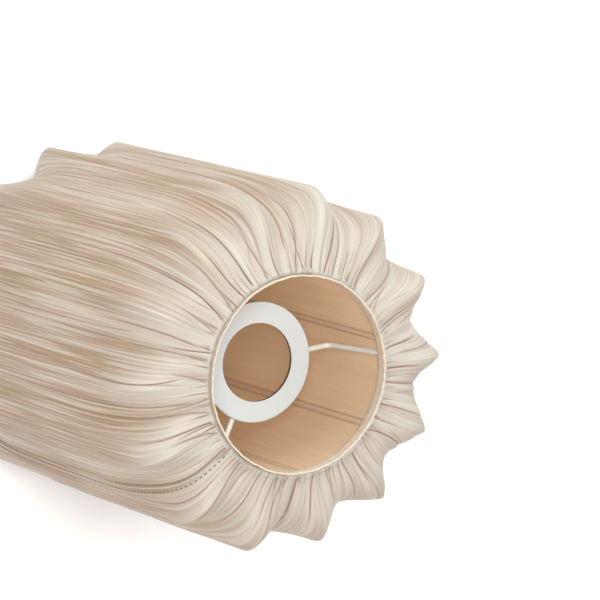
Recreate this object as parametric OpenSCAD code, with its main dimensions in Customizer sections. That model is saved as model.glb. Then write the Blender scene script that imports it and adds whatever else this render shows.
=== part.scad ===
// Gathered fabric lamp shade on a welded wire frame, in millimetres.
// +Z points up the shade's axis, the origin is the centre of its bottom rim,
// and one of the outer ribs lies over +X.

/* [Shade] */
// Height between the top and bottom rims
shade_h = 260; // [220:5:400]
// Radius of the fabric over the outer ribs
crest_r = 99.3; // [95:0.1:110]
// Radius of the rounded shoulder where the fabric turns down over a rib
shoulder_r = 19; // [10:0.5:24]
// How far below the rim the fabric crosses the ribs
collar_drop = 4.3; // [4:0.1:6]

/* [Fabric] */
// Thickness of the gathered cover
cover_t = 0.8; // [0.5:0.1:1]
// How far the cover dips between two ribs at half height
waist_dip = 2.7; // [2.5:0.1:6]
// How far the valley between two ribs is drawn in where it leaves the collar
valley_collar_inset = 19.3; // [12:0.1:20]
// How far the valley is drawn in where it reaches the side
valley_side_inset = 8.3; // [5:0.1:10]
// Drop at which the valley has come out to the side
valley_end_drop = 60; // [45:1:80]
// Roundness of a crest: 1 is a sharp ridge
crest_roundness = 1.25; // [1:0.05:1.5]
// Thickness of the inner liner
liner_t = 0.5; // [0.3:0.1:0.8]
// Thickness of the binding's inner leg
binding_t = 0.6; // [0.4:0.1:0.8]
// Depth of the binding's inner leg below the rim
binding_depth = 7; // [4:0.5:12]
// Diameter of the rounded edge of the binding
piping_d = 1.5; // [1:0.1:1.6]

/* [Wire frame] */
// Centreline radius of the top and bottom rings
ring_r = 55.5; // [55:0.1:58]
// Wire diameter of the two rings and the spider arms
ring_wire = 3; // [2.5:0.1:3.2]
// Wire diameter of the ribs and the uprights
rib_wire = 2.5; // [2:0.1:2.8]
// Azimuth of the first upright
upright_azimuth = 15.4; // [10:0.1:16]

/* [Fitter] */
// Radius of the lamp holder hole
fitter_hole_r = 21.5; // [14:0.5:22]
// Outer radius of the fitter ring
fitter_r = 33.1; // [30:0.1:35]
// Thickness of the fitter ring
fitter_t = 2; // [1.5:0.1:3]
// Depth of the fitter ring's top face below the rim
fitter_drop = 44.7; // [35:0.1:60]
// Azimuth of the first spider arm
arm_azimuth = 108.4; // [107:0.1:108.5]
// Angle at which the spider arms rise to the top ring
arm_rise = 79; // [76:0.5:82]

/* [Hidden] */

$fn = 96;
wire_fn = 24;
rib_count = 14;
upright_count = 7;
arm_count = 3;
clearance = 0.3;
crest_gap = 0.85;
weld_gap = 0.02;
overcut = 1;

// Wire centrelines, measured down from the rim (drop) and out from the axis (r)
rib_drop = collar_drop + cover_t + rib_wire / 2 + crest_gap;
rib_r = crest_r - cover_t - rib_wire / 2 - crest_gap - clearance;
bend_centre_r = crest_r - shoulder_r;
rib_bend_r = rib_r - bend_centre_r;
ring_drop = rib_drop - rib_wire / 2 - ring_wire / 2 - weld_gap;
wire_end_drop = ring_drop + ring_wire / 2 + weld_gap;

// Inner tube: the liner stands just inside the rings, the binding just inside the liner
cloth_gap = 0.2;
wire_gap = 0.15;
liner_rise = 1;
liner_outer_r = ring_r - ring_wire / 2 - cloth_gap;
liner_inner_r = liner_outer_r - liner_t;
liner_drop = ring_drop - liner_rise;
binding_outer_r = liner_inner_r - cloth_gap;
piping_inset = 0.15;
piping_r = binding_outer_r - piping_inset;
rest_flat = 0.12;
upright_r = liner_outer_r + rib_wire / 2 + wire_gap;

// Spider arms: along the fitter ring's underside, round a bend, then up to the top ring
arm_bend_r = 5;
arm_seat = 3.5;
arm_end_gap = 0.4;
arm_end_inset = 0.1;
arm_drop = fitter_drop + fitter_t + ring_wire / 2 + weld_gap;
arm_start_r = fitter_hole_r + arm_seat;
arm_end_r = ring_r - arm_end_inset;
arm_run = (arm_drop - wire_end_drop - arm_bend_r * (1 - cos(arm_rise)) - arm_end_gap) / sin(arm_rise);
arm_corner_r = arm_end_r - arm_bend_r * sin(arm_rise) - arm_run * cos(arm_rise);
elbow_overlap = 0.4;
elbow_step = 0.04;
slot_clearance = 0.8;
slot_w = ring_wire + slot_clearance;
slot_drop = arm_drop - (liner_inner_r - ring_wire - arm_corner_r - arm_bend_r) * tan(arm_rise);

// Cover mesh: columns across each rib's sector, rows down the meridian
columns_per_rib = 6;
heading_steps = 2;
collar_steps = 4;
shoulder_steps = 4;
wall_steps = 5;
wall_crowding = 1.6;
heading_start = 120;
heading_end = 35;
heading_r = ring_wire / 2 + clearance + cover_t;
collar_start_r = 62;
wall_top = collar_drop + shoulder_r;

// Valley between two ribs: a bend from the collar to the side, then a settling to half height
valley_start_r = 58.6;
valley_collar_drop = 6.5;
valley_side_drop = 22;
valley_settle_length = 9.3;
valley_settling = 1.1;
valley_end_dip = waist_dip + valley_settling;
valley_bend = [
    [valley_start_r, collar_drop],
    [crest_r - valley_collar_inset, valley_collar_drop],
    [crest_r - valley_side_inset, valley_side_drop],
    [crest_r - valley_end_dip, valley_end_drop]
];
collar_run = bend_centre_r - valley_start_r;
shoulder_run = shoulder_r * PI / 2;
bend_run = collar_run + shoulder_run + valley_end_drop - wall_top;

// The valley's [radius, drop] at a distance along the crest, and at its drop once past the bend
function bend_point(t) =
    pow(1 - t, 3) * valley_bend[0] + 3 * t * pow(1 - t, 2) * valley_bend[1]
    + 3 * t * t * (1 - t) * valley_bend[2] + pow(t, 3) * valley_bend[3];
function side_dip(drop) =
    waist_dip + valley_settling * exp(-(drop - valley_end_drop) / valley_settle_length);
function valley(along, drop) =
    along < bend_run ? bend_point(along / bend_run) : [crest_r - side_dip(drop), drop];

// The way out of the cloth in the valley, square to its bend
function bend_outward(along) =
    let (
        t = min(1, along / bend_run),
        step = 0.02,
        run = bend_point(min(1, t + step)) - bend_point(max(0, t - step))
    )
    [run[1], run[0]] / norm(run);

// A row is [crest point, way out at the crest, valley point, way out in the valley]:
// a point is [radius, drop] and a way out is [out from the axis, up]
function crest_row(crest, outward, along) = [crest, outward, valley(along, crest[1]), bend_outward(along)];
function heading_rows() = [
    for (i = [0 : heading_steps])
        let (
            a = heading_start + (heading_end - heading_start) * i / heading_steps,
            point = [ring_r + heading_r * cos(a), ring_drop - heading_r * sin(a)]
        )
        [point, [cos(a), sin(a)], point, [cos(a), sin(a)]]
];
function collar_rows() = [
    for (i = [0 : collar_steps])
        let (r = collar_start_r + (bend_centre_r - collar_start_r) * i / collar_steps)
        crest_row([r, collar_drop], [0, 1], r - valley_start_r)
];
function shoulder_rows() = [
    for (i = [1 : shoulder_steps])
        let (a = 90 - 90 * i / shoulder_steps)
        crest_row(
            [bend_centre_r + shoulder_r * cos(a), collar_drop + shoulder_r * (1 - sin(a))],
            [cos(a), sin(a)], collar_run + shoulder_run * i / shoulder_steps
        )
];
function wall_rows() = [
    for (i = [1 : wall_steps])
        let (fall = (shade_h / 2 - wall_top) * pow(i / wall_steps, wall_crowding))
        crest_row([crest_r, wall_top + fall], [1, 0], collar_run + shoulder_run + fall)
];
half_rows = concat(heading_rows(), collar_rows(), shoulder_rows(), wall_rows());
half_count = len(half_rows);

row_count = 2 * half_count - 1;
column_count = rib_count * columns_per_rib;

// Depth of the fold at a share of the way from one rib to the next, 0 on a rib and 1 half-way
function fold(share) = pow(sin(180 * share), crest_roundness);

// One ring of points of the cover, sunk below its outer face by inset; the lower half mirrors the upper
function cover_ring(index, inset) =
    let (
        upper = index < half_count,
        row = half_rows[upper ? index : row_count - 1 - index]
    )
    [
        for (i = [0 : column_count - 1])
            let (
                f = fold((i % columns_per_rib) / columns_per_rib),
                place = row[0] + (row[2] - row[0]) * f,
                lean = row[1] + (row[3] - row[1]) * f,
                outward = lean / norm(lean),
                r = place[0] - inset * outward[0],
                drop = place[1] + inset * outward[1],
                azimuth = 360 * i / column_count
            )
            [r * cos(azimuth), r * sin(azimuth), upper ? shade_h - drop : drop]
    ];

// Two triangles between ring a and ring b, both given by their first point's index
function band(a, b) = [
    for (i = [0 : column_count - 1])
        let (next = (i + 1) % column_count)
        each [[a + i, a + next, b + i], [a + next, b + next, b + i]]
];

module cover() {
    inner_start = row_count * column_count;
    points = concat(
        [for (k = [0 : row_count - 1]) each cover_ring(k, 0)],
        [for (k = [0 : row_count - 1]) each cover_ring(k, cover_t)]
    );
    outer_faces = [for (k = [0 : row_count - 2]) each band(k * column_count, (k + 1) * column_count)];
    inner_faces = [
        for (k = [0 : row_count - 2])
            each band(inner_start + (k + 1) * column_count, inner_start + k * column_count)
    ];
    top_edge = band(inner_start, 0);
    bottom_edge = band((row_count - 1) * column_count, inner_start + (row_count - 1) * column_count);
    color("bisque") polyhedron(points, concat(outer_faces, inner_faces, top_edge, bottom_edge), convexity = 10);
}

module liner() {
    color("tan") difference() {
        translate([0, 0, liner_drop]) cylinder(h = shade_h - 2 * liner_drop, r = liner_outer_r);
        translate([0, 0, liner_drop - overcut])
            cylinder(h = shade_h - 2 * liner_drop + 2 * overcut, r = liner_inner_r);
        for (i = [0 : arm_count - 1])
            rotate([0, 0, arm_azimuth + 360 * i / arm_count])
                translate([liner_inner_r - overcut, -slot_w / 2, shade_h - slot_drop])
                    cube([liner_t + 2 * overcut, slot_w, slot_drop]);
    }
}

// The binding of the bottom rim: a thin leg inside the liner with a rounded edge to rest on
module binding() {
    rotate_extrude() {
        translate([binding_outer_r - binding_t, piping_d / 2])
            square([binding_t, binding_depth - piping_d / 2]);
        intersection() {
            translate([piping_r, piping_d / 2 - rest_flat]) circle(d = piping_d, $fn = wire_fn);
            translate([piping_r - piping_d, 0]) square([2 * piping_d, piping_d]);
        }
    }
}

module top_binding() {
    color("ivory") translate([0, 0, shade_h]) mirror([0, 0, 1]) binding();
}

module bottom_binding() {
    color("ivory") binding();
}

module ring(z) {
    color("whitesmoke") translate([0, 0, z]) rotate_extrude()
        translate([ring_r, 0]) circle(d = ring_wire, $fn = wire_fn);
}

module top_ring() {
    ring(shade_h - ring_drop);
}

module bottom_ring() {
    ring(ring_drop);
}

module fitter_ring() {
    edge_r = fitter_t / 2;
    color("white") translate([0, 0, shade_h - fitter_drop - fitter_t]) difference() {
        union() {
            cylinder(h = fitter_t, r = fitter_r - edge_r);
            translate([0, 0, edge_r]) rotate_extrude()
                translate([fitter_r - edge_r, 0]) circle(r = edge_r, $fn = wire_fn);
        }
        translate([0, 0, -overcut]) cylinder(h = fitter_t + 2 * overcut, r = fitter_hole_r);
    }
}

// Straight wire in the XZ plane from [r, z], heading up from +X by an angle
module rod(start, heading, run, gauge) {
    translate([start[0], 0, start[1]]) rotate([0, 90 - heading, 0])
        cylinder(h = run, d = gauge, $fn = wire_fn);
}

// Bent wire in the XZ plane round a centre [r, z]
module bend(centre, radius, from, sweep, gauge) {
    translate([centre[0], 0, centre[1]]) rotate([90, 0, 0]) rotate([0, 0, from])
        rotate_extrude(angle = sweep) translate([radius, 0]) circle(d = gauge, $fn = wire_fn);
}

module spider_arm(i) {
    z = shade_h - arm_drop;
    color("white") rotate([0, 0, arm_azimuth + 360 * (i - 1) / arm_count]) {
        rod([arm_start_r, z], 0, arm_corner_r - arm_start_r, ring_wire);
        translate([arm_corner_r, 0, z + arm_bend_r]) rotate([90, 0, 0]) rotate([0, 0, -90]) {
            rotate_extrude(angle = arm_rise) translate([arm_bend_r, 0]) circle(d = ring_wire, $fn = wire_fn);
            rotate([0, 0, arm_rise]) translate([arm_bend_r, -elbow_overlap, 0]) rotate([-90, 0, 0])
                cylinder(h = arm_run + elbow_overlap, d = ring_wire - elbow_step, $fn = wire_fn);
        }
    }
}

module upright(i) {
    color("whitesmoke") rotate([0, 0, upright_azimuth + 360 * (i - 1) / upright_count])
        rod([upright_r, wire_end_drop], 90, shade_h - 2 * wire_end_drop, rib_wire);
}

// A rib runs out from the top ring, round the shoulder, down the side and back in to the bottom ring
module rib(i) {
    leg = bend_centre_r - ring_r;
    low = rib_drop + rib_bend_r;
    high = shade_h - low;
    color("whitesmoke") rotate([0, 0, 360 * (i - 1) / rib_count]) {
        rod([ring_r, shade_h - rib_drop], 0, leg, rib_wire);
        bend([bend_centre_r, high], rib_bend_r, 0, 90, rib_wire);
        rod([rib_r, low], 90, high - low, rib_wire);
        bend([bend_centre_r, low], rib_bend_r, -90, 90, rib_wire);
        rod([ring_r, rib_drop], 0, leg, rib_wire);
    }
}

cover();
liner();
top_binding();
bottom_binding();
top_ring();
bottom_ring();
fitter_ring();
spider_arm(1);  // spider_arm_1
spider_arm(2);  // spider_arm_2
spider_arm(3);  // spider_arm_3
upright(1);  // upright_1
upright(2);  // upright_2
upright(3);  // upright_3
upright(4);  // upright_4
upright(5);  // upright_5
upright(6);  // upright_6
upright(7);  // upright_7
rib(1);  // rib_1
rib(2);  // rib_2
rib(3);  // rib_3
rib(4);  // rib_4
rib(5);  // rib_5
rib(6);  // rib_6
rib(7);  // rib_7
rib(8);  // rib_8
rib(9);  // rib_9
rib(10);  // rib_10
rib(11);  // rib_11
rib(12);  // rib_12
rib(13);  // rib_13
rib(14);  // rib_14
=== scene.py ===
"""Looks of the gathered fabric lamp shade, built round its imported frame.

Lengths are in millimetres until a mesh is made. Angles run round the shade's axis from +X,
and a drop is a depth below the rim that is nearer.
"""
import math

import bpy
import numpy as np
from mathutils import Matrix, Vector


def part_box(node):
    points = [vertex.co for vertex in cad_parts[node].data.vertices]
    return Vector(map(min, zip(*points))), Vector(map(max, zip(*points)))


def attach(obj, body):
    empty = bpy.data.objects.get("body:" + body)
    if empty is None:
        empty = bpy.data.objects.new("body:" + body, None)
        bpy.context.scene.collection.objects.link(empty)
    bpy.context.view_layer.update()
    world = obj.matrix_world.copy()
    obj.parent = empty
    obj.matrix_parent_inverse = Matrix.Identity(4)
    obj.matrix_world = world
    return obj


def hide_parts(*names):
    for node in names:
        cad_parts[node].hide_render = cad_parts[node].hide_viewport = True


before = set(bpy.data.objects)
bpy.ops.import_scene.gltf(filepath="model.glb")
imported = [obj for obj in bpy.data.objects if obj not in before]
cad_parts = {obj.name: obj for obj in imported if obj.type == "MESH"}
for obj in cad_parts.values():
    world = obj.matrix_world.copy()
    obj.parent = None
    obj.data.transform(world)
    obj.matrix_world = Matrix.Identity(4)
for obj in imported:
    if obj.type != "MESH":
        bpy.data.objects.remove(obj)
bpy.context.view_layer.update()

MM = 0.001
BODY = "root"


# ---------------------------------------------------------------- sizes from the frame

def box_mm(node):
    """Lowest and highest corner of a CAD node, in millimetres."""
    low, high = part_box(node)
    return np.array(low) / MM, np.array(high) / MM


cover_high = box_mm("cover")[1]
ring_low, ring_high = box_mm("top_ring")
liner_low, liner_high = box_mm("liner")
binding_high = box_mm("top_binding")[1]
rib_high = box_mm("rib_1")[1]
upright_low, upright_high = box_mm("upright_1")

RIB_COUNT = sum(name.startswith("rib_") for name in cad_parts)
UPRIGHT_COUNT = sum(name.startswith("upright_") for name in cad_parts)

HEIGHT = binding_high[2]
CREST_R = cover_high[0]
RING_WIRE = ring_high[2] - ring_low[2]
RING_R = ring_high[0] - RING_WIRE / 2
RING_DROP = HEIGHT - (ring_high[2] + ring_low[2]) / 2
FABRIC_OVER_RIB = 1.65
COLLAR_DROP = HEIGHT - rib_high[2] - FABRIC_OVER_RIB
SHOULDER_R = 19.0
SHOULDER_START_R = CREST_R - SHOULDER_R
SECTOR = 2 * math.pi / RIB_COUNT
UPRIGHT_AZIMUTH = math.atan2(upright_low[1] + upright_high[1], upright_low[0] + upright_high[0])
LINER_R = liner_high[0]


# ---------------------------------------------------------------- small helpers

def fade(share):
    """A share from 0 to 1, eased at both ends."""
    return share * share * (3 - 2 * share)


def smoothstep(low, high, value):
    """0 below low, 1 above high, and smooth between."""
    return fade(np.clip((np.asarray(value, dtype=float) - low) / (high - low), 0, 1))


def ripple(azimuth, random, waves):
    """A sum of sines round the shade: pairs of a number of waves and a height, each at a random phase."""
    return sum(height * np.sin(count * azimuth + random.uniform(0, 2 * math.pi)) for count, height in waves)


def make_mesh(name, points, faces, material, uvs=None):
    """A mesh object from points in millimetres and faces of point indices."""
    mesh = bpy.data.meshes.new(name)
    mesh.from_pydata((np.asarray(points) * MM).tolist(), [], faces)
    mesh.update()
    if uvs is not None:
        layer = mesh.uv_layers.new(name="UVMap")
        loops = np.empty(len(mesh.loops), dtype=np.int32)
        mesh.loops.foreach_get("vertex_index", loops)
        layer.data.foreach_set("uv", np.asarray(uvs)[loops].ravel())
    mesh.shade_smooth()
    mesh.materials.append(material)
    piece = bpy.data.objects.new(name, mesh)
    bpy.context.scene.collection.objects.link(piece)
    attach(piece, BODY)
    return piece


def grid_faces(rows, columns, closed):
    """Quads of a grid of points stored row by row; closed joins the last column to the first."""
    faces = []
    last = columns if closed else columns - 1
    for row in range(rows - 1):
        low, high = row * columns, (row + 1) * columns
        for column in range(last):
            following = (column + 1) % columns
            faces.append((low + column, high + column, high + following, low + following))
    return faces


def set_attribute(piece, name, values):
    """A number for each point of a piece, for its material to read."""
    attribute = piece.data.attributes.new(name, "FLOAT", "POINT")
    attribute.data.foreach_set("value", np.asarray(values, dtype=np.float32).ravel())


class Shader:
    """A material's node tree, with short calls to add nodes and join them."""

    def __init__(self, name):
        """An empty tree for a new material."""
        self.material = bpy.data.materials.new(name)
        self.material.use_nodes = True
        self.tree = self.material.node_tree
        self.tree.nodes.clear()
        self.output = self.tree.nodes.new("ShaderNodeOutputMaterial")

    def node(self, kind, inputs=None, **settings):
        """A node of a kind, with its inputs set or joined and its settings made."""
        made = self.tree.nodes.new("ShaderNode" + kind)
        for key, value in settings.items():
            setattr(made, key, value)
        for key, value in (inputs or {}).items():
            if isinstance(value, bpy.types.NodeSocket):
                self.tree.links.new(value, made.inputs[key])
            else:
                made.inputs[key].default_value = value
        return made

    def math(self, operation, first, second=0.0, clamp=False):
        """A sum, product or other operation on two numbers."""
        made = self.node("Math", {0: first, 1: second}, operation=operation, use_clamp=clamp)
        return made.outputs[0]

    def times(self, first, second, clamp=False):
        """A product."""
        return self.math("MULTIPLY", first, second, clamp)

    def mix(self, factor, first, second):
        """Two colours mixed by a factor."""
        made = self.node("Mix", data_type="RGBA")
        for index, value in ((0, factor), (6, first), (7, second)):
            if isinstance(value, bpy.types.NodeSocket):
                self.tree.links.new(value, made.inputs[index])
            else:
                made.inputs[index].default_value = value
        return made.outputs[2]

    def noise(self, coordinates, scale, detail=3.0, roughness=0.5):
        """Smooth noise from 0 to 1."""
        inputs = {"Vector": coordinates, "Scale": scale, "Detail": detail, "Roughness": roughness}
        return self.node("TexNoise", inputs).outputs["Fac"]

    def stretch(self, coordinates, scale):
        """Coordinates scaled along each axis."""
        return self.node("Mapping", {"Vector": coordinates, "Scale": scale}).outputs[0]

    def ramp(self, value, low, high):
        """A smooth step from 0 at low to 1 at high."""
        inputs = {"Value": value, "From Min": low, "From Max": high}
        return self.node("MapRange", inputs, interpolation_type="SMOOTHSTEP").outputs[0]

    def attribute(self, name):
        """A number stored on the points of a mesh."""
        return self.node("Attribute", attribute_name=name).outputs["Fac"]

    def bump(self, height, distance, strength=1.0, normal=None):
        """A normal tilted by a height."""
        inputs = {"Height": height, "Distance": distance, "Strength": strength}
        if normal is not None:
            inputs["Normal"] = normal
        return self.node("Bump", inputs).outputs[0]

    def finish(self, surface):
        """The material, with this surface."""
        self.tree.links.new(surface, self.output.inputs["Surface"])
        return self.material


def colour(red, green, blue):
    """A colour given as it looks on screen, 0 to 255, as linear light."""
    def linear(value):
        share = value / 255
        return share / 12.92 if share <= 0.04045 else ((share + 0.055) / 1.055) ** 2.4
    return (linear(red), linear(green), linear(blue), 1.0)


# ---------------------------------------------------------------- shape of the cover

COLUMNS = 1540
HEADING_ROWS = 7
COLLAR_ROWS = 11
SHOULDER_ROWS = 8
HALF_WALL_ROWS = 7
HEADING_R = RING_WIRE / 2 + 0.85
HEADING_FROM = math.radians(168)
HEADING_TO = math.radians(38)
HEADING_END_R = RING_R + HEADING_R * math.cos(HEADING_TO)
COLLAR_START_R = 58.6
CREST_ROUNDNESS = 1.25
HEADING_RISE = 1.7
HEADING_FALL = 3.2
HEADING_SINK = 0.6
WALL_CROWDING = 1.35
COLLAR_CROWDING = 1.2
VALLEY_END_DROP = 60.0
VALLEY_BEND = ((COLLAR_START_R, COLLAR_DROP), (80.0, 6.5), (91.0, 22.0), (95.5, VALLEY_END_DROP))
VALLEY_WAIST_R = 96.6
VALLEY_SETTLE = 9.3


def valley_point(share, drop):
    """Radius and drop of the lowest line between two ribs, by its share of the bend from rim to wall."""
    rest = 1 - share
    weights = np.array([rest ** 3, 3 * share * rest ** 2, 3 * share ** 2 * rest, share ** 3])
    radius = weights @ np.array([point[0] for point in VALLEY_BEND])
    depth = weights @ np.array([point[1] for point in VALLEY_BEND])
    if share < 1:
        return radius, depth
    end_r = VALLEY_BEND[-1][0]
    settled = math.exp(-(drop - VALLEY_END_DROP) / VALLEY_SETTLE)
    return VALLEY_WAIST_R - (VALLEY_WAIST_R - end_r) * settled, drop


def half_meridian():
    """Rows from the rim to half height: crest radius and drop, valley radius and drop, distance along."""
    angle = np.linspace(HEADING_FROM, HEADING_TO, HEADING_ROWS)
    heading_r = RING_R + HEADING_R * np.cos(angle)
    heading = np.stack([heading_r, RING_DROP - HEADING_R * np.sin(angle)], axis=1)
    share = np.linspace(0, 1, COLLAR_ROWS) ** COLLAR_CROWDING
    radius = COLLAR_START_R + (SHOULDER_START_R - COLLAR_START_R) * share
    rise = HEADING_RISE * np.exp(-(radius - HEADING_END_R) / HEADING_FALL)
    collar = np.stack([radius, COLLAR_DROP - rise], axis=1)
    angle = np.linspace(math.pi / 2, 0, SHOULDER_ROWS + 1)[1:]
    shoulder_r = SHOULDER_START_R + SHOULDER_R * np.cos(angle)
    shoulder = np.stack([shoulder_r, COLLAR_DROP + SHOULDER_R * (1 - np.sin(angle))], axis=1)
    wall_top = COLLAR_DROP + SHOULDER_R
    fall = (HEIGHT / 2 - wall_top) * np.linspace(0, 1, HALF_WALL_ROWS + 1)[1:] ** WALL_CROWDING
    wall = np.stack([np.full_like(fall, CREST_R), wall_top + fall], axis=1)
    crest = np.concatenate([heading, collar, shoulder, wall])
    steps = np.hypot(*np.diff(crest, axis=0).T)
    along = np.concatenate([[0], np.cumsum(steps)])
    bend_from = along[HEADING_ROWS]
    wall_from = along[HEADING_ROWS + COLLAR_ROWS + SHOULDER_ROWS - 1]
    bend_length = wall_from + VALLEY_END_DROP - wall_top - bend_from
    valley = crest.copy()
    for row in range(HEADING_ROWS, len(crest)):
        share = min(1.0, (along[row] - bend_from) / bend_length)
        valley[row] = valley_point(share, crest[row, 1])
    valley[HEADING_ROWS:HEADING_ROWS + COLLAR_ROWS, 1] -= rise
    return np.column_stack([crest, valley, along])


def full_meridian():
    """Rows from the top rim to the bottom rim: crest radius and z, valley radius and z, distance along."""
    half = half_meridian()
    top = half.copy()
    top[:, 1] = HEIGHT - half[:, 1]
    top[:, 3] = HEIGHT - half[:, 3]
    bottom = half[-2::-1].copy()
    bottom[:, 4] = 2 * half[-1, 4] - bottom[:, 4]
    return np.concatenate([top, bottom])


meridian = full_meridian()
ROWS = len(meridian)
LENGTH = meridian[-1, 4]
HEADING_LENGTH = meridian[HEADING_ROWS - 1, 4]
COLLAR_LENGTH = meridian[HEADING_ROWS + COLLAR_ROWS - 1, 4]
SEAM = math.radians(-36.5)
SEAM_OVERLAP = math.radians(2.6)


def drawn_noise(azimuth, along, cells, length, random):
    """Smooth noise about zero, of this many cells round the shade, drawn out to a length along the folds."""
    rows = int(LENGTH / length) + 3
    values = random.standard_normal((rows, cells))
    phase = random.uniform(0, 1, cells)
    across = np.mod((azimuth - SEAM) / (2 * math.pi) * cells, cells)
    cell = np.floor(across).astype(int) % cells

    def along_cell(index):
        place = along[:, None] / length + phase[index][None, :]
        row = np.floor(place).astype(int)
        return values[row, index] + (values[row + 1, index] - values[row, index]) * fade(place - row)

    near, far = along_cell(cell), along_cell((cell + 1) % cells)
    return near + (far - near) * fade(across - np.floor(across))[None, :]


# A crease: its dark line of painted shade, the painted highlight beside it, the spread of its painted brown
# shade, and how it swings from its start
LINE = 0.4
RIDGE_OFFSET = 2.2 * LINE
SHADE_SPREAD = 0.65
LEAN_LENGTH = 20.0
CREASE_REACH = 7
FAINTEST = 1e-3

# Stand-out folds
MAIN_FOLDS_PER_SECTOR = 3
MAIN_FOLD_NARROW = 0.45
MAIN_FOLD_LEAN = math.radians(4.0) * SHOULDER_START_R
RIM_GATHERS = 104
LONG_FOLDS_PER_SECTOR = 6
BRANCHES_PER_SECTOR = 9

# Billows of the cloth: number round the shade, length, height
BILLOWS = ((34, 300.0, 1.0), (84, 240.0, 0.7), (190, 180.0, 0.28))
BILLOW_SHARPNESS = 0.7

# How the cloth lies over the frame
FOLD_SEED = 7
SECTOR_SEED = 21
POINT_SKEW = 0.07
POINT_DEPTH = (0.88, 1.02)
HEADING_HOLD = 0.55
BODY_SINK = 4.0
TAUT_FROM = HEADING_LENGTH + 6
TAUT_OVER_RIB = 0.75
SEAM_LIFT = 0.45
NEAR_RIM = (28.0, 95.0)


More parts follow.
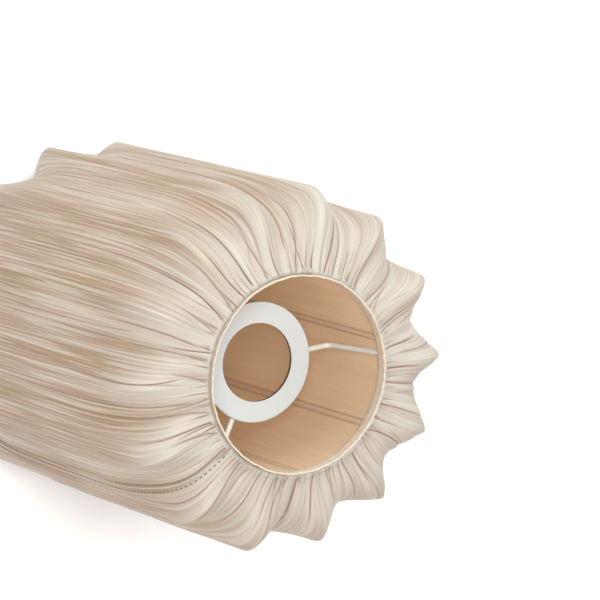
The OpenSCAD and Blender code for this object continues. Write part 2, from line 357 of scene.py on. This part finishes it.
class Folds:
    """Heights of the gathered fabric over its smooth shape, and how much painted crease shade, painted
    highlight and painted brown shade each point gets.
    """

    def __init__(self, azimuth, seed):
        self.azimuth = azimuth
        self.random = np.random.default_rng(seed)
        self.height = np.zeros((ROWS, len(azimuth)))
        self.crease = np.zeros((ROWS, len(azimuth)))
        self.ridge = np.zeros((ROWS, len(azimuth)))
        self.shade = np.zeros((ROWS, len(azimuth)))
        self.along = meridian[:, 4]
        self.radius = (meridian[:, 0] + meridian[:, 2]) / 2
        self.rim = np.minimum(self.along, LENGTH - self.along)

    def add(self, place, depth, widths, start, end, fades, lean=0.0, tint=1.0):
        """One crease at an azimuth, from start to end along the meridian; lean moves it by its end."""
        left, right = widths
        along, radius = self.along[:, None], self.radius[:, None]
        strength = smoothstep(start, start + fades[0], along) * (1 - smoothstep(end - fades[1], end, along))
        rows = np.nonzero(strength[:, 0] > FAINTEST)[0]
        if not len(rows):
            return
        from_rim = np.minimum(along[rows], LENGTH - along[rows]) - min(start, LENGTH - end)
        centre = place + lean / radius[rows] * (1 - np.exp(-from_rim / LEAN_LENGTH))
        reach = (CREASE_REACH * max(widths) + abs(lean)) / self.radius[rows].min()
        offset = np.angle(np.exp(1j * (self.azimuth - place)))
        columns = np.nonzero(np.abs(offset) < reach)[0]
        distance = np.angle(np.exp(1j * (self.azimuth[columns][None, :] - centre))) * radius[rows]
        reach_here = np.where(distance < 0, left, right)
        fall = np.exp(-np.abs(distance) / reach_here)
        patch = np.ix_(rows, columns)
        self.height[patch] -= depth * strength[rows] * fall
        tint_here = tint * strength[rows]
        # Painted shade: a dark line along the middle of the crease.
        self.crease[patch] = np.maximum(self.crease[patch], tint_here * np.exp(-(distance / LINE) ** 2))
        # Painted highlight: a light line beside the crease, on its wide side.
        side = 1 if left < right else -1
        beside = (distance - side * RIDGE_OFFSET) / LINE
        self.ridge[patch] = np.maximum(self.ridge[patch], tint_here * np.exp(-beside ** 2))
        # Painted shade: brown fading out from the crease, farther on its wide side.
        painted_shade_falloff = np.exp(-np.abs(distance) / (SHADE_SPREAD * reach_here))
        self.shade[patch] = np.maximum(self.shade[patch], tint_here * painted_shade_falloff)

    def spread(self, count, jitter):
        """Azimuths spread round the shade with some unevenness."""
        steps = np.arange(count) + self.random.uniform(-jitter, jitter, count)
        return SEAM + 2 * math.pi * steps / count

    def sides(self, narrow, wide):
        """Widths of a crease's two sides, with the steep side on the left or the right at random."""
        return (narrow, wide) if self.random.random() < 0.5 else (wide, narrow)

    def add_from_rim(self, bottom, place, depth, widths, start, end, fades, lean, tint):
        """A crease whose stretch is measured from the top rim, or from the bottom rim."""
        if bottom:
            start, end = LENGTH - end, LENGTH - start
            fades = fades[::-1]
        self.add(place, depth, widths, start, end, fades, lean, tint)

    def main_folds(self, bottom):
        """The folds that stand out: in each sector a long one that runs on to the body and two short ones."""
        for index, place in enumerate(self.spread(RIB_COUNT * MAIN_FOLDS_PER_SECTOR, 0.4)):
            runs_on = index % MAIN_FOLDS_PER_SECTOR == 0
            reach = self.random.uniform(70, 150) if runs_on else self.random.uniform(28, 60)
            depth = self.random.uniform(1.0, 1.6) if runs_on else self.random.uniform(0.6, 1.2)
            lean = self.random.normal(0, 1) * MAIN_FOLD_LEAN
            tint = self.random.uniform(0.5, 1.0)
            wide = MAIN_FOLD_NARROW * self.random.uniform(2.5, 5.0)
            widths = self.sides(MAIN_FOLD_NARROW, wide)
            start = HEADING_LENGTH * self.random.uniform(0.2, 0.6)
            fades = (3.0, 0.6 * (reach - start))
            self.add_from_rim(bottom, place, depth, widths, start, reach, fades, lean, tint)

    def rim_gathers(self, bottom):
        """Short deep creases that fan out from the gathered heading and die out on the collar."""
        for place in self.spread(RIM_GATHERS, 0.7):
            depth = self.random.uniform(0.2, 1.1)
            narrow = self.random.uniform(0.28, 0.5)
            wide = narrow * self.random.uniform(1.2, 3.2)
            widths = self.sides(narrow, wide)
            start = HEADING_LENGTH * self.random.uniform(0.1, 0.8)
            end = HEADING_LENGTH + 4 + self.random.gamma(1.8, 7.0)
            lean = self.random.normal(0, 1.6)
            tint = self.random.uniform(0.2, 1.0) * min(1.0, depth + 0.15)
            fades = (2.0, 0.85 * (end - start))
            self.add_from_rim(bottom, place, depth, widths, start, end, fades, lean, tint)

    def long_folds(self):
        """Folds that sweep from a rim on to the body, and some from rim to rim."""
        for place in self.spread(RIB_COUNT * LONG_FOLDS_PER_SECTOR, 0.6):
            depth = 0.15 + self.random.gamma(1.3, 0.25)
            narrow = self.random.uniform(0.4, 0.8)
            wide = narrow * self.random.uniform(1.5, 5.0)
            widths = self.sides(narrow, wide)
            start = self.random.uniform(0.9, 3.0) * HEADING_LENGTH
            end = LENGTH - self.random.uniform(0.9, 3.0) * HEADING_LENGTH
            if self.random.random() < 0.65:
                cut = self.random.uniform(0.2, 0.6) * LENGTH
                start, end = (start, cut) if self.random.random() < 0.5 else (LENGTH - cut, end)
            lean = self.random.normal(0, 3.5)
            tint = min(1.0, 0.1 + 0.8 * depth) * self.random.uniform(0.2, 1.0)
            self.add(place, depth, widths, start, end, (12.0, 50.0), lean, tint)

    def branches(self):
        """Fine creases of the body that start and die out between the long folds."""
        for place in self.spread(RIB_COUNT * BRANCHES_PER_SECTOR, 0.7):
            depth = self.random.uniform(0.08, 0.4)
            narrow = self.random.uniform(0.35, 0.6)
            widths = (narrow, narrow * self.random.uniform(1.5, 4.0))
            start = self.random.uniform(0.03, 0.8) * LENGTH
            end = start + self.random.uniform(25, 120)
            lean = self.random.normal(0, 3.0)
            tint = self.random.uniform(0.05, 0.6)
            self.add(place, depth, widths, start, end, (15.0, 25.0), lean, tint)

    def lobes(self, cells, length, amount):
        """Rounded billows that meet in creases; returns the field whose zero line is the crease."""
        field = drawn_noise(self.azimuth, self.along, cells, length, self.random)
        swell = drawn_noise(self.azimuth, self.along, cells // 4, 2 * length, self.random)
        strength = np.clip(0.75 + 0.35 * swell, 0.15, 1.4)
        self.height += amount * strength * (np.abs(field) ** BILLOW_SHARPNESS - 0.6)
        return field


def rib_share(azimuth):
    """How far each azimuth is from its rib to the next, 0 to 1."""
    return np.mod(azimuth / SECTOR, 1.0)


def surface_normals(points):
    """Unit normals of a grid of points, pointing out."""
    across = np.gradient(points, axis=1)
    down = np.gradient(points, axis=0)
    normals = np.cross(down, across)
    return normals / np.linalg.norm(normals, axis=2, keepdims=True)


def cover_points():
    """Points of the cover, texture coordinates, and the fields its material reads: creases with their painted
    shade and painted highlights, billows and nearness to a rim.
    """
    azimuth = SEAM + np.linspace(0, 2 * math.pi + SEAM_OVERLAP, COLUMNS)
    folds = Folds(azimuth, FOLD_SEED)
    gathers = [folds.lobes(*billow) for billow in BILLOWS][1]
    folds.long_folds()
    folds.branches()
    for bottom in (False, True):
        folds.rim_gathers(bottom)
        folds.main_folds(bottom)

    sector = np.floor(azimuth / SECTOR).astype(int) % RIB_COUNT
    random = np.random.default_rng(SECTOR_SEED)
    skew = random.uniform(-POINT_SKEW, POINT_SKEW, RIB_COUNT)[sector]
    depth = random.uniform(*POINT_DEPTH, RIB_COUNT)[sector]
    share = rib_share(azimuth)
    share = share + skew * np.sin(math.pi * share) ** 2
    fold = (depth * np.sin(math.pi * share) ** CREST_ROUNDNESS)[None, :]
    crest_r, crest_z, valley_r, valley_z, along = (meridian[:, i][:, None] for i in range(5))
    ring = crest_r + (valley_r - crest_r) * fold
    points = np.empty((ROWS, COLUMNS, 3))
    points[:, :, 0] = ring * np.cos(azimuth)
    points[:, :, 1] = ring * np.sin(azimuth)
    points[:, :, 2] = crest_z + (valley_z - crest_z) * fold
    normals = surface_normals(points)

    rim = np.minimum(along, LENGTH - along)
    hold = HEADING_HOLD + (1 - HEADING_HOLD) * smoothstep(0.3 * HEADING_LENGTH, HEADING_LENGTH + 1.5, rim)
    taut = smoothstep(TAUT_FROM, COLLAR_LENGTH, rim)
    over_rib = 1 - taut * (1 - np.clip(fold, 0, 1) ** 0.6) * TAUT_OVER_RIB
    height = folds.height * hold * over_rib
    deepest = -HEADING_SINK - BODY_SINK * smoothstep(HEADING_LENGTH - 1.0, HEADING_LENGTH + 4.0, rim)
    height = np.where(height < 0, deepest * np.tanh(height / deepest), height)
    lift = SEAM_LIFT * (azimuth > SEAM + 2 * math.pi - 0.01)[None, :]
    points += normals * (height + lift)[:, :, None]
    uvs = np.empty((ROWS, COLUMNS, 2))
    uvs[:, :, 0] = np.linspace(0, 1, COLUMNS)[None, :]
    uvs[:, :, 1] = along / LENGTH
    fields = {
        "crease": folds.crease, "ridge": folds.ridge, "shade": folds.shade, "gathers": gathers,
        "near_rim": np.broadcast_to(1 - smoothstep(*NEAR_RIM, rim), gathers.shape),
    }
    return points, uvs, fields


# ---------------------------------------------------------------- materials

THREAD_R = 88.0

def chiffon():
    """Crinkled ivory chiffon over a tan lining: fine lines along the folds, painted pink-brown shade in the
    creases and painted highlights beside them.
    """
    s = Shader("gathered_chiffon")
    uv = s.node("UVMap", uv_map="UVMap").outputs[0]
    threads = s.stretch(uv, (2 * math.pi * THREAD_R, LENGTH, 1.0))

    def streaks(across, along):
        """Noise drawn out along the folds, by its marks to a millimetre each way."""
        return s.noise(s.stretch(threads, (across, along, 1.0)), 1.0, 1.0, 0.5)

    wide, coarse = streaks(0.09, 0.006), streaks(0.3, 0.005)
    middle, hair = streaks(0.8, 0.009), streaks(1.2, 0.012)
    ivory, tan, cream = colour(214, 212, 204), colour(166, 138, 106), colour(229, 224, 212)
    # brown and deep are colours of painted shade in the creases; cream also serves as the painted highlight
    # beside them.
    pink, brown, deep = colour(194, 162, 145), colour(182, 140, 112), colour(104, 66, 48)

    bare = s.math("SUBTRACT", 1.0, s.attribute("near_rim"))
    tan_share = s.math("ADD", s.times(bare, 0.78), s.times(s.ramp(wide, 0.35, 0.65), 0.18))
    # Tan on one side of each billow of the cloth: partly doubled cloth, partly painted shade.
    tan_share = s.math("ADD", tan_share, s.times(s.ramp(s.attribute("gathers"), -0.3, 0.9), 0.2))
    base = s.mix(tan_share, ivory, tan)
    streaked = s.math("ADD", 0.3, s.times(bare, 0.7))
    base = s.mix(s.times(s.ramp(coarse, 0.5, 0.64), s.times(streaked, 0.7)), base, tan)
    base = s.mix(s.times(s.ramp(coarse, 0.48, 0.36), s.times(streaked, 0.5)), base, cream)
    blushing = s.math("ADD", 0.12, s.times(bare, 0.22))
    base = s.mix(s.times(s.ramp(middle, 0.52, 0.66), blushing), base, pink)
    base = s.mix(s.times(s.ramp(hair, 0.5, 0.6), 0.5), base, cream)
    base = s.mix(s.times(s.ramp(hair, 0.45, 0.36), s.times(bare, 0.45)), base, tan)
    # Painted light and shade from the creases: brown painted shade round each, a cream painted highlight
    # beside it, and a dark painted shade line in it.
    base = s.mix(s.times(s.attribute("shade"), 0.7, clamp=True), base, brown)
    base = s.mix(s.times(s.attribute("ridge"), 0.7, clamp=True), base, cream)
    base = s.mix(s.times(s.attribute("crease"), 0.95, clamp=True), base, deep)

    relief = s.math("ADD", coarse, s.times(middle, 0.7))
    relief = s.math("ADD", relief, s.times(hair, 0.35))
    normal = s.bump(relief, 0.0006, 0.8)
    cloth = s.node("BsdfPrincipled", {
        "Base Color": base, "Roughness": 0.5, "Specular IOR Level": 0.45, "Sheen Weight": 0.3,
        "Sheen Roughness": 0.4, "Sheen Tint": colour(255, 253, 250), "Normal": normal,
    })
    glow = s.node("BsdfTranslucent", {"Color": s.mix(0.5, base, cream), "Normal": normal})
    both = s.node("MixShader", {0: 0.38, 1: cloth.outputs[0], 2: glow.outputs[0]})
    return s.finish(both.outputs[0])


def lining():
    """Matt tan lining, faintly streaked, with a painted light line over each upright behind it and painted
    shadow lines beside it.
    """
    s = Shader("tan_lining")
    uv = s.node("UVMap", uv_map="UVMap").outputs[0]
    threads = s.stretch(uv, (2 * math.pi * LINER_R, HEIGHT, 1.0))
    wide = s.noise(s.stretch(threads, (0.12, 0.004, 1.0)), 1.0, 3.0, 0.5)
    fine = s.noise(s.stretch(threads, (1.1, 0.02, 1.0)), 1.0, 3.0, 0.6)
    base = s.mix(s.ramp(wide, 0.3, 0.7), colour(248, 222, 190), colour(243, 212, 178))
    base = s.mix(s.times(s.ramp(fine, 0.5, 0.8), 0.3), base, colour(224, 189, 153))
    # Painted shadow beside each upright, then a painted light line over it.
    base = s.mix(s.attribute("shadow"), base, colour(196, 156, 126))
    base = s.mix(s.attribute("wire"), base, colour(240, 216, 196))
    normal = s.bump(fine, 0.0003, 0.4)
    cloth = s.node("BsdfPrincipled", {
        "Base Color": base, "Roughness": 0.85, "Specular IOR Level": 0.15, "Sheen Weight": 0.1,
        "Normal": normal,
    })
    glow = s.node("BsdfTranslucent", {"Color": base, "Normal": normal})
    both = s.node("MixShader", {0: 0.5, 1: cloth.outputs[0], 2: glow.outputs[0]})
    return s.finish(both.outputs[0])


def binding_cloth():
    """Cream bias binding with a fine diagonal weave."""
    s = Shader("cream_binding")
    place = s.node("TexCoord").outputs["Object"]
    mottle = s.noise(place, 420.0, 4.0, 0.6)
    weave = s.node("TexWave", {"Vector": place, "Scale": 900.0, "Distortion": 1.5, "Detail": 2.0},
                   bands_direction="DIAGONAL").outputs["Fac"]
    base = s.mix(s.ramp(mottle, 0.35, 0.7), colour(230, 218, 200), colour(214, 198, 178))
    normal = s.bump(weave, 0.00012, 0.5, s.bump(mottle, 0.0003, 0.5))
    cloth = s.node("BsdfPrincipled", {
        "Base Color": base, "Roughness": 0.8, "Specular IOR Level": 0.2, "Sheen Weight": 0.2,
        "Normal": normal,
    })
    glow = s.node("BsdfTranslucent", {"Color": base, "Normal": normal})
    both = s.node("MixShader", {0: 0.15, 1: cloth.outputs[0], 2: glow.outputs[0]})
    return s.finish(both.outputs[0])


def powder_coat(name, tone, dark_upright_edges=False):
    """White powder coat with a faint orange peel; with the flag set, the upright edges of a plate are made
    dark grey-brown.
    """
    s = Shader(name)
    place = s.node("TexCoord").outputs["Object"]
    peel = s.noise(place, 900.0, 2.0, 0.4)
    patch = s.noise(place, 35.0, 3.0, 0.5)
    base = s.mix(s.times(s.ramp(patch, 0.3, 0.7), 0.5), tone, colour(197, 202, 201))
    if dark_upright_edges:
        # Edges that face sideways are made dark grey-brown.
        facing = s.node("SeparateXYZ", {0: s.node("TexCoord").outputs["Normal"]}).outputs["Z"]
        flat = s.ramp(s.math("ABSOLUTE", facing), 0.3, 0.6)
        base = s.mix(flat, colour(92, 84, 76), base)
    normal = s.bump(peel, 0.00006, 0.35)
    paint = s.node("BsdfPrincipled", {
        "Base Color": base, "Roughness": 0.42, "Specular IOR Level": 0.45, "Coat Weight": 0.15,
        "Coat Roughness": 0.3, "Normal": normal,
    })
    return s.finish(paint.outputs[0])


def thread():
    """Spun sewing thread, a little darker than the cloth."""
    s = Shader("sewing_thread")
    place = s.node("TexCoord").outputs["Object"]
    twist = s.node("TexWave", {"Vector": place, "Scale": 1600.0, "Distortion": 0.5},
                   bands_direction="DIAGONAL").outputs["Fac"]
    base = s.mix(twist, colour(128, 98, 80), colour(92, 68, 56))
    yarn = s.node("BsdfPrincipled", {
        "Base Color": base, "Roughness": 0.7, "Sheen Weight": 0.2, "Normal": s.bump(twist, 0.0001, 0.5),
    })
    return s.finish(yarn.outputs[0])


# ---------------------------------------------------------------- pieces

def make_cover(material):
    """The gathered cover; returns its grid of points, for the seam to follow."""
    points, uvs, fields = cover_points()
    faces = grid_faces(ROWS, COLUMNS, closed=False)
    cover = make_mesh("gathered_cover", points.reshape(-1, 3), faces, material, uvs.reshape(-1, 2))
    for name, values in fields.items():
        set_attribute(cover, name, values)
    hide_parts("cover")
    return points


STITCH_PITCH = 3.2
STITCH_START = 9.0
STITCH_LENGTH = 2.0
STITCH_R = 0.3
STITCH_SIDES = 6
# Along a stitch from its middle, as shares of its half length, and its thickness there
STITCH_OUTLINE = ((-1.0, 0.0), (-0.85, 0.75), (-0.5, 1.0), (0.5, 1.0), (0.85, 0.75), (1.0, 0.0))


def make_stitches(points, material):
    """The seam's stitches: short rounded lengths of thread laid along the overlap."""
    from_edge = SEAM_OVERLAP / 2 / (2 * math.pi + SEAM_OVERLAP) * (COLUMNS - 1)
    column = COLUMNS - 1 - round(from_edge)
    line = points[:, column]
    normals = surface_normals(points)[:, column]
    steps = np.linalg.norm(np.diff(line, axis=0), axis=1)
    along = np.concatenate([[0], np.cumsum(steps)])

    def at(values, place):
        return np.array([np.interp(place, along, values[:, axis]) for axis in range(3)])

    vertices, faces = [], []
    for place in np.arange(STITCH_START, along[-1] - STITCH_START, STITCH_PITCH):
        middle = at(line, place)
        outward = at(normals, place)
        outward /= np.linalg.norm(outward)
        heading = at(line, place + 1) - at(line, place - 1)
        heading -= outward * (heading @ outward)
        heading /= np.linalg.norm(heading)
        sideways = np.cross(outward, heading)
        first = len(vertices)
        for position, thickness in STITCH_OUTLINE:
            sunk = 0.5 * STITCH_R * (1 - 2 * abs(position) ** 3)
            ring_centre = middle + heading * position * STITCH_LENGTH / 2 + outward * sunk
            for side in range(STITCH_SIDES):
                turn = 2 * math.pi * side / STITCH_SIDES
                spoke = math.cos(turn) * sideways + math.sin(turn) * outward
                vertices.append(ring_centre + STITCH_R * max(thickness, 0.15) * spoke)
        for ring in range(len(STITCH_OUTLINE) - 1):
            for side in range(STITCH_SIDES):
                following = (side + 1) % STITCH_SIDES
                low, high = first + ring * STITCH_SIDES, first + (ring + 1) * STITCH_SIDES
                faces.append((low + side, low + following, high + following, high + side))
        last = first + (len(STITCH_OUTLINE) - 1) * STITCH_SIDES
        faces.append(tuple(range(first + STITCH_SIDES - 1, first - 1, -1)))
        faces.append(tuple(range(last, last + STITCH_SIDES)))
    return make_mesh("seam_stitches", vertices, faces, material)


LINER_ROWS = 60
LINER_COLUMNS = 720
LINER_PUCKERS = ((23, 0.05), (41, 0.05), (67, 0.04), (97, 0.03))


def make_liner(material):
    """The lining: a plain tube drawn tight inside the uprights."""
    rows, columns = LINER_ROWS, LINER_COLUMNS
    z = np.linspace(liner_high[2], liner_low[2], rows)
    azimuth = np.linspace(0, 2 * math.pi, columns, endpoint=False)
    step = 2 * math.pi / UPRIGHT_COUNT
    offset = (np.mod(azimuth - UPRIGHT_AZIMUTH + step / 2, step) - step / 2) * LINER_R
    ridge = 0.25 * np.exp(-(offset / 1.3) ** 2)
    pucker = ripple(azimuth, np.random.default_rng(11), LINER_PUCKERS)
    radius = LINER_R - 0.15 - ridge + pucker
    points = np.empty((rows, columns, 3))
    points[:, :, 0] = radius * np.cos(azimuth)
    points[:, :, 1] = radius * np.sin(azimuth)
    points[:, :, 2] = z[:, None]
    uvs = np.empty((rows, columns, 2))
    uvs[:, :, 0] = azimuth / (2 * math.pi)
    uvs[:, :, 1] = (z / HEIGHT)[:, None]
    faces = grid_faces(rows, columns, closed=True)
    liner = make_mesh("inner_liner", points.reshape(-1, 3), faces, material, uvs.reshape(-1, 2))
    # Painted light over each upright and painted shadow lines to either side, for the material to read.
    wire = np.exp(-(offset / 0.8) ** 2) * 0.8
    shadow = np.exp(-((np.abs(offset) - 1.6) / 0.7) ** 2) * 0.7
    set_attribute(liner, "wire", np.tile(wire, (rows, 1)))
    set_attribute(liner, "shadow", np.tile(shadow, (rows, 1)))
    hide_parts("liner")


PIPING_R = 0.48
BINDING_COLUMNS = 540
BINDING_WOBBLE = ((5, 0.12), (11, 0.1), (23, 0.09), (41, 0.07), (73, 0.05), (118, 0.05))
BINDING_RISE = ((7, 0.06), (19, 0.06), (37, 0.05), (89, 0.04))
BINDING_HEM = ((4, 0.3), (9, 0.2), (31, 0.08))


def make_binding(name, node, top, material):
    """A folded strip round the rim: a rounded, slightly wavy edge and a leg turned down inside."""
    low, high = box_mm(node)
    depth = high[2] - low[2]
    outer_r = high[0]
    columns = BINDING_COLUMNS
    random = np.random.default_rng(3 if top else 5)
    azimuth = np.linspace(0, 2 * math.pi, columns, endpoint=False)
    wobble = ripple(azimuth, random, BINDING_WOBBLE)
    rise = ripple(azimuth, random, BINDING_RISE)
    hem = ripple(azimuth, random, BINDING_HEM)
    angles = np.radians(np.linspace(-60, 180, 13))
    middle_r = outer_r - PIPING_R
    edge = [(middle_r + PIPING_R * math.cos(a), PIPING_R * (1 - math.sin(a))) for a in angles]
    leg_r = outer_r - 2 * PIPING_R
    inner = [(leg_r - 0.02, 1.4), (leg_r + 0.02, 3.0), (leg_r + 0.05, 4.4), (leg_r + 0.04, depth - 0.3)]
    back = [(leg_r + 0.2, depth), (leg_r + 0.45, depth - 0.2), (leg_r + 0.5, 4.0), (leg_r + 0.55, 2.0)]
    outline = edge + inner + back
    count = len(outline)
    points = np.empty((count, columns, 3))
    for index, (radius, drop) in enumerate(outline):
        near_edge = 1 - smoothstep(1.0, 4.0, drop)
        r = radius + wobble * (0.4 + 0.6 * near_edge)
        d = drop - rise * near_edge + hem * smoothstep(4.0, depth, drop)
        points[index, :, 0] = r * np.cos(azimuth)
        points[index, :, 1] = r * np.sin(azimuth)
        points[index, :, 2] = HEIGHT - d if top else np.maximum(d, 0.0)
    faces = grid_faces(count, columns, closed=True)
    last = (count - 1) * columns
    faces += [(last + c, c, (c + 1) % columns, last + (c + 1) % columns) for c in range(columns)]
    if not top:
        faces = [face[::-1] for face in faces]
    binding = make_mesh(name, points.reshape(-1, 3), faces, material)
    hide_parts(node)


# ---------------------------------------------------------------- the whole

SOFT_NODES = ("cover", "liner", "top_binding", "bottom_binding")


def build():
    """Every soft piece in place of its CAD solid, and paint on the metal."""
    cover_points_grid = make_cover(chiffon())
    make_stitches(cover_points_grid, thread())
    make_liner(lining())
    tape = binding_cloth()
    make_binding("top_rim_binding", "top_binding", True, tape)
    make_binding("bottom_rim_binding", "bottom_binding", False, tape)
    fitter_paint = powder_coat("white_fitter", colour(197, 203, 204), dark_upright_edges=True)
    wire_paint = powder_coat("white_wire", colour(210, 210, 203))
    for name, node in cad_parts.items():
        if name in SOFT_NODES:
            continue
        paint = fitter_paint if name == "fitter_ring" else wire_paint
        node.data.materials.clear()
        node.data.materials.append(paint)


CAMERA_AZIMUTH = math.radians(-95.2)
CAMERA_ELEVATION = math.radians(57.8)
CAMERA_ROLL = math.radians(105.07)
CAMERA_DISTANCE = 2.381
CAMERA_RAISE = 0.0397
CAMERA_LENS = 270.0


def camera_axes():
    """The camera's right, up and back directions."""
    back = Vector((
        math.cos(CAMERA_ELEVATION) * math.cos(CAMERA_AZIMUTH),
        math.cos(CAMERA_ELEVATION) * math.sin(CAMERA_AZIMUTH),
        math.sin(CAMERA_ELEVATION)))
    level = Vector((0, 0, 1)).cross(back).normalized()
    upright = back.cross(level)
    right = math.cos(CAMERA_ROLL) * level + math.sin(CAMERA_ROLL) * upright
    return right, back.cross(right), back


def add_camera():
    """The camera, turned to the middle of the top opening."""
    right, up, back = camera_axes()
    data = bpy.data.cameras.new("camera")
    data.lens = CAMERA_LENS
    data.clip_end = 20
    camera = bpy.data.objects.new("camera", data)
    bpy.context.scene.collection.objects.link(camera)
    target = Vector((0, 0, HEIGHT * MM)) + CAMERA_RAISE * up
    place = target + CAMERA_DISTANCE * back
    turn = Matrix((right, up, back)).transposed().to_4x4()
    camera.matrix_world = Matrix.Translation(place) @ turn
    bpy.context.scene.camera = camera


def add_light(name, direction, distance, size, power, tint):
    """A round soft light that faces the middle of the shade from a direction."""
    data = bpy.data.lights.new(name, "AREA")
    data.shape = "DISK"
    data.size = size
    data.energy = power
    data.color = tint
    light = bpy.data.objects.new(name, data)
    bpy.context.scene.collection.objects.link(light)
    centre = Vector((0, 0, HEIGHT * MM / 2))
    light.location = centre + distance * Vector(direction).normalized()
    light.rotation_euler = (light.location - centre).to_track_quat("Z", "Y").to_euler()


FLOOR_HALF = 6.0
WORLD_STRENGTH = 0.4


def add_studio():
    """A white floor, an even white world and three soft lights."""
    mesh = bpy.data.meshes.new("floor")
    corners = [(x * FLOOR_HALF, y * FLOOR_HALF, 0) for x, y in ((-1, -1), (1, -1), (1, 1), (-1, 1))]
    mesh.from_pydata(corners, [], [(0, 1, 2, 3)])
    floor = bpy.data.objects.new("floor", mesh)
    bpy.context.scene.collection.objects.link(floor)
    s = Shader("floor_white")
    matt = s.node("BsdfDiffuse", {"Color": (0.96, 0.96, 0.96, 1)})
    mesh.materials.append(s.finish(matt.outputs[0]))

    world = bpy.data.worlds.new("studio")
    world.use_nodes = True
    world.node_tree.nodes["Background"].inputs[0].default_value = (1.0, 1.0, 1.0, 1)
    world.node_tree.nodes["Background"].inputs[1].default_value = WORLD_STRENGTH
    bpy.context.scene.world = world
    right, up, back = camera_axes()
    add_light("key", 0.6 * right + 0.75 * up + 0.35 * back, 2.2, 1.6, 29.0, (0.96, 0.99, 1.0))
    add_light("front", 0.1 * right + 0.05 * up + back, 3.0, 1.4, 83.0, (1.0, 1.0, 0.995))
    add_light("low", 0.3 * right - 0.9 * up + 0.5 * back, 2.4, 1.6, 15.0, (1.0, 0.82, 0.75))
    bpy.context.scene.view_settings.view_transform = "Standard"


build()
add_camera()
add_studio()
